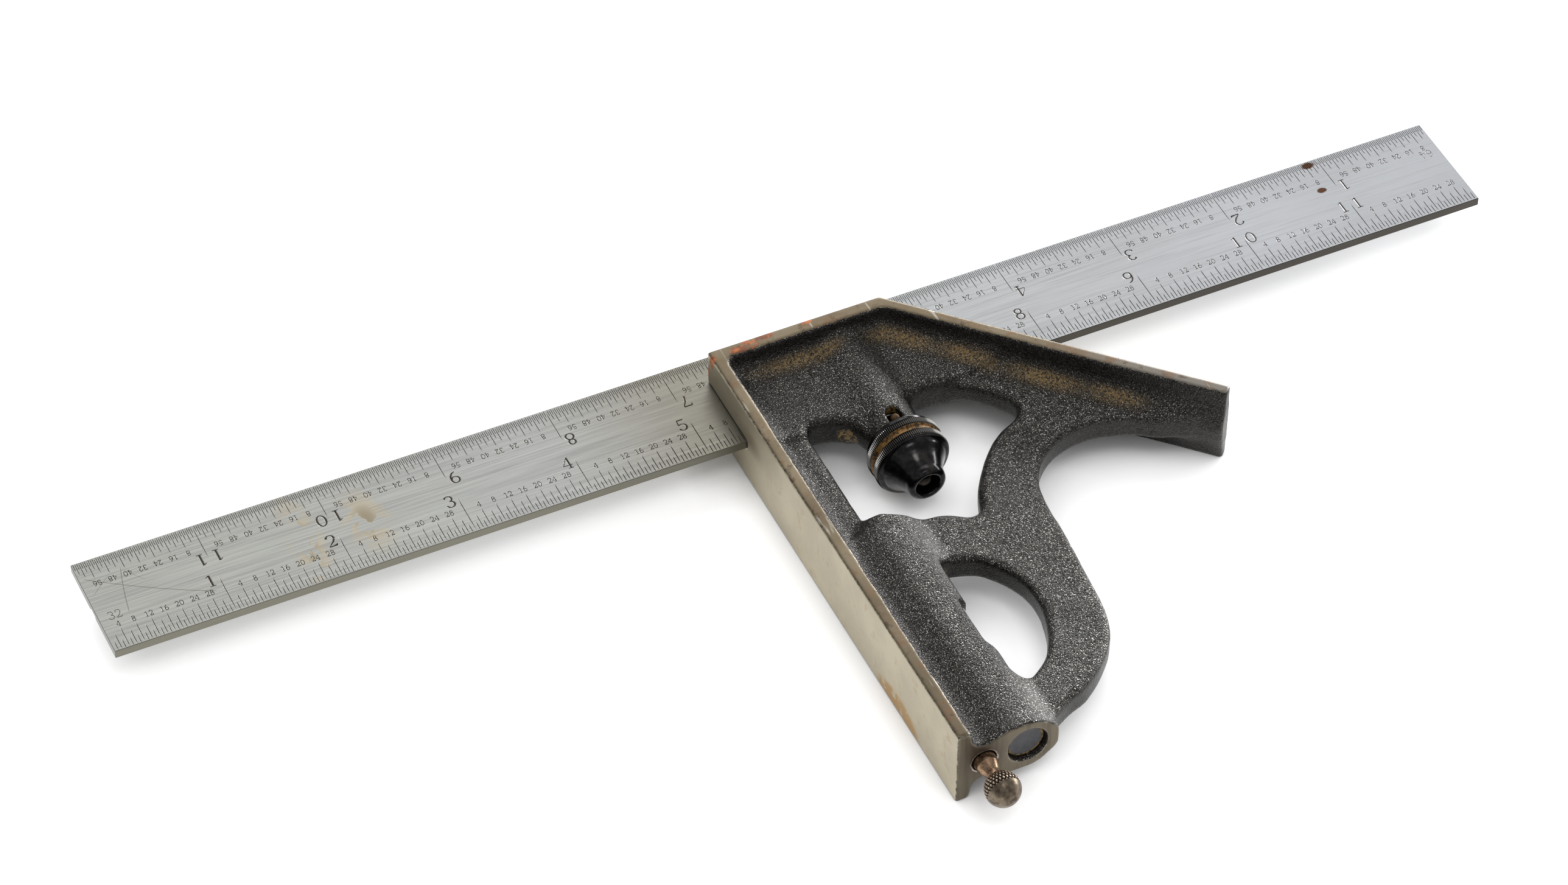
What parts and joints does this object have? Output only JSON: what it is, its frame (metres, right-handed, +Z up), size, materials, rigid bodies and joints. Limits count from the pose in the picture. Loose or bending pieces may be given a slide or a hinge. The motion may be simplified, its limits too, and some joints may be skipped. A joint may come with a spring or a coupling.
{
  "type": "combination square",
  "caption": "Combination square: cast square and mitre head on a sliding graduated steel rule, with knurled lock nut, spirit level and pull-out scriber.",
  "frame": {"origin": "centre of the bounding box at rest, on the surface that the head's rims lie on; X = 0 is the middle of the rule's length", "axes": "+X along the rule, away from the square face; +Y across the rule, away from the scriber; +Z up, out of the graduated face"},
  "size_m": [0.3048, 0.132, 0.0186],
  "materials": {
    "japanned_iron": "coarse black japan over cast iron, ground rims bare and tarnished",
    "rule_steel": "satin, engraved and lightly stained",
    "blued_steel": "glossy blue-black",
    "tool_steel": "tarnished",
    "spring_steel": "bright",
    "brass": "dull",
    "plaster": "matt",
    "glass": "clear",
    "spirit": "clear yellow-green",
    "end_disc": "smooth blue-grey"
  },
  "bodies": {
    "head": {"square_head": "japanned_iron", "scriber_bushing": "brass", "vial_glass": "glass", "vial_spirit": "spirit", "vial_seat_outer": "plaster", "vial_seat_inner": "plaster", "vial_end_disc": "end_disc", "lock_spring": "spring_steel"},
    "rule": {"blade": "rule_steel"},
    "bolt": {"lock_bolt": "tool_steel", "bolt_guide_pin": "tool_steel"},
    "nut": {"lock_nut": "blued_steel"},
    "scriber": {"scriber_knob": "tool_steel", "scriber_needle": "spring_steel"},
    "bubble": {"vial_bubble": "glass"}
  },
  "joints": [
    {"name": "rule_slide", "type": "slide", "parent": "head", "child": "rule", "axis": [1, 0, 0], "range_m": [-0.14, 0.13]},
    {"name": "nut_turn", "type": "hinge", "parent": "head", "child": "nut", "pos_m": [0.0109, 0.0223, 0.0093], "axis": [0, 1, 0], "range_deg": [0, 360]},
    {"name": "bolt_draw", "type": "slide", "parent": "head", "child": "bolt", "axis": [0, 1, 0], "range_m": [0, 0.00091], "deforming": ["lock_spring"]},
    {"name": "scriber_pull", "type": "slide", "parent": "head", "child": "scriber", "axis": [0, -1, 0], "range_m": [0, 0.05]},
    {"name": "bubble_drift", "type": "slide", "parent": "head", "child": "bubble", "axis": [0, 1, 0], "range_m": [-0.006, 0.006], "stiffness_N_per_m": 0.5, "deforming": ["vial_spirit"]}
  ],
  "couplings": [
    {"joint": "bolt_draw", "follows": "nut_turn", "m_per_rad": 0.00014438}
  ]
}
